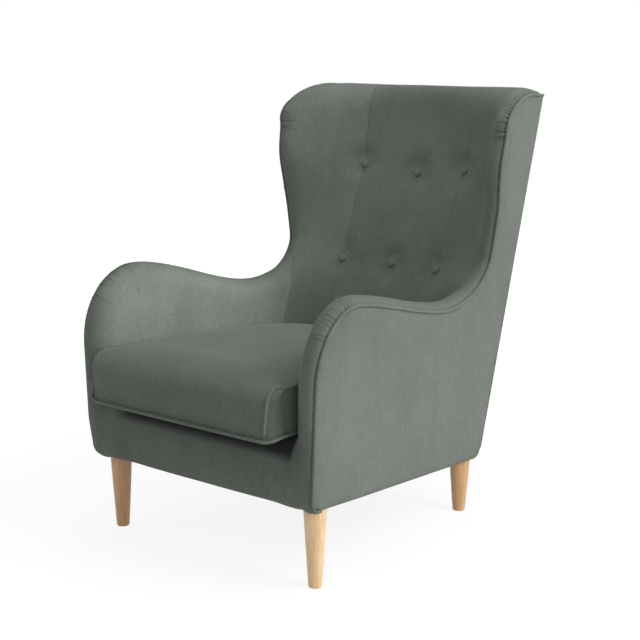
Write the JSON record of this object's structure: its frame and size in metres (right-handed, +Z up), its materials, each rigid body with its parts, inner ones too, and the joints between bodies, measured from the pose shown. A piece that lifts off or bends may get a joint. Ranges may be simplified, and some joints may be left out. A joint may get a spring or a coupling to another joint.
{
  "type": "wingback armchair",
  "caption": "High-backed upholstered armchair with wings, rolled piped arms, tufted inner back, loose box seat cushion and tapered round wooden legs.",
  "frame": {"origin": "on the floor under the middle of the chair's bounding box", "axes": "+Z up, the chair faces -Y, +X is the right as seen from the front"},
  "size_m": [0.7002, 0.973, 1.019],
  "materials": {
    "cover_cloth": "soft woven velvet with a short pile",
    "cushion_cloth": "soft woven velvet with a short pile",
    "piping_cloth": "covered piping cord",
    "felt": "needled felt",
    "webbing": "woven webbing",
    "dust_cloth": "thin non-woven cloth",
    "leg_wood": "clear satin lacquer on light beech",
    "frame_wood": "raw plywood and sawn softwood",
    "spring_steel": "drawn wire and plain bolts",
    "zip_plastic": "closed coil zip"
  },
  "bodies": {
    "chair": {"leg_front_right": "leg_wood", "leg_front_left": "leg_wood", "leg_bolt_front_right": "spring_steel", "leg_bolt_front_left": "spring_steel", "leg_block_front_right": "frame_wood", "leg_block_front_left": "frame_wood", "leg_rear_right": "leg_wood", "leg_rear_left": "leg_wood", "leg_bolt_rear_right": "spring_steel", "leg_bolt_rear_left": "spring_steel", "leg_block_rear_right": "frame_wood", "leg_block_rear_left": "frame_wood", "arm_stump_right": "frame_wood", "arm_stump_left": "frame_wood", "arm_rail_right": "frame_wood", "arm_rail_left": "frame_wood", "wing_plate_right": "frame_wood", "wing_plate_left": "frame_wood", "side_rail_right": "frame_wood", "side_rail_left": "frame_wood", "back_post_right": "frame_wood", "back_post_left": "frame_wood", "front_rail": "frame_wood", "rear_rail": "frame_wood", "lumbar_rail": "frame_wood", "top_rail": "frame_wood", "seat_spring_1": "spring_steel", "seat_spring_2": "spring_steel", "seat_spring_3": "spring_steel", "seat_spring_4": "spring_steel", "back_strap_1": "webbing", "back_strap_2": "webbing", "back_strap_3": "webbing", "spring_felt": "felt", "deck_pad": "cover_cloth", "arm_pad_right": "cover_cloth", "arm_pad_left": "cover_cloth", "wing_pad_right": "cover_cloth", "wing_pad_left": "cover_cloth", "back_pad": "cover_cloth", "side_cover_right": "cover_cloth", "side_cover_left": "cover_cloth", "back_cover": "cover_cloth", "front_cover": "cover_cloth", "side_piping_right": "piping_cloth", "side_piping_left": "piping_cloth", "button_upper_left": "cover_cloth", "button_upper_middle": "cover_cloth", "button_upper_right": "cover_cloth", "button_lower_left": "cover_cloth", "button_lower_middle": "cover_cloth", "button_lower_right": "cover_cloth", "dust_cover": "dust_cloth"},
    "cushion": {"seat_cushion": "cushion_cloth", "cushion_top_piping": "piping_cloth", "cushion_bottom_piping": "piping_cloth", "cushion_zip": "zip_plastic"}
  },
  "joints": [
    {"name": "cushion_lift", "type": "slide", "parent": "chair", "child": "cushion", "axis": [0, 0, 1], "range_m": [0, 0.25]}
  ]
}
